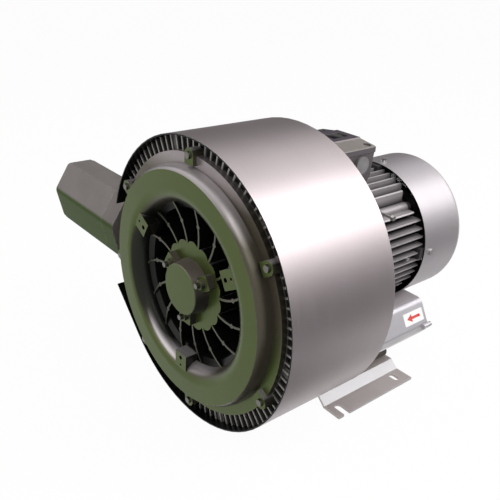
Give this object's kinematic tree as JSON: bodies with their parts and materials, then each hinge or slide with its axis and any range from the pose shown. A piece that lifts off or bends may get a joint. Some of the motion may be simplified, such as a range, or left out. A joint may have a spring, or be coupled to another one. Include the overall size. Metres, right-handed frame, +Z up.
{
  "type": "two-stage side-channel blower",
  "caption": "Two-stage side-channel blower with a finned drum housing, flange-mounted electric motor, side outlet silencer, rear inlet silencer and slotted foot plate.",
  "frame": {"origin": "on the floor, midway between the two closed slots of the foot plate, under the shaft axis", "axes": "+Z up, +Y along the shaft from the front cover to the motor fan, +X to the right seen from the front cover"},
  "size_m": [0.615, 0.465, 0.412],
  "materials": {
    "cover_paint": "satin",
    "housing_metal": "cast",
    "shroud_metal": "brushed",
    "impeller_metal": "machined",
    "motor_paint": "painted",
    "silencer_paint": "painted",
    "steel": "machined",
    "zinc_steel": "zinc plated",
    "cowl_paint": "satin",
    "foot_paint": "satin",
    "saddle_iron": "matte",
    "core_steel": "laminated",
    "copper": "varnished wire",
    "black_plastic": "moulded",
    "gasket_rubber": "matte",
    "lining_foam": "porous"
  },
  "bodies": {
    "housing": {"front_cover": "cover_paint", "bearing_cap": "cover_paint", "cap_screws": "steel", "cover_screws": "steel", "middle_housing": "housing_metal", "rear_housing": "housing_metal", "housing_screws": "steel", "shroud": "shroud_metal", "shaft_seals": "gasket_rubber", "front_bearing_outer": "steel", "drive_bearing_outer": "steel", "rear_bearing_outer": "steel", "bearing_balls": "steel", "motor_frame": "motor_paint", "stator_core": "core_steel", "windings": "copper", "end_shield": "motor_paint", "preload_spring": "steel", "through_bolts": "zinc_steel", "fan_cowl": "cowl_paint", "cowl_screws": "zinc_steel", "terminal_box": "motor_paint", "box_gasket": "gasket_rubber", "terminal_lid": "motor_paint", "lid_screws": "zinc_steel", "terminal_block": "black_plastic", "entry_plugs": "black_plastic", "outlet_gasket": "gasket_rubber", "outlet_adapter": "cover_paint", "outlet_silencer": "silencer_paint", "outlet_cap": "silencer_paint", "outlet_tube": "zinc_steel", "outlet_lining": "lining_foam", "inlet_gasket": "gasket_rubber", "inlet_adapter": "silencer_paint", "inlet_silencer": "silencer_paint", "inlet_cap": "silencer_paint", "inlet_tube": "zinc_steel", "inlet_lining": "lining_foam", "silencer_screws": "steel", "foot_plate": "foot_paint", "saddle": "saddle_iron", "foot_bolts": "zinc_steel"},
    "rotor": {"shaft": "steel", "front_impeller": "impeller_metal", "rear_impeller": "impeller_metal", "seal_sleeve": "steel", "hub_spacer": "steel", "impeller_keys": "steel", "lock_nut": "steel", "front_bearing_inner": "steel", "drive_bearing_inner": "steel", "rear_bearing_inner": "steel", "rotor_core": "core_steel", "rotor_end_rings": "impeller_metal", "cooling_fan": "black_plastic", "fan_clip": "steel"}
  },
  "joints": [
    {"name": "rotor_spin", "type": "hinge", "parent": "housing", "child": "rotor", "pos_m": [0, -0.23175, 0.212], "axis": [0, 1, 0], "continuous": true}
  ]
}
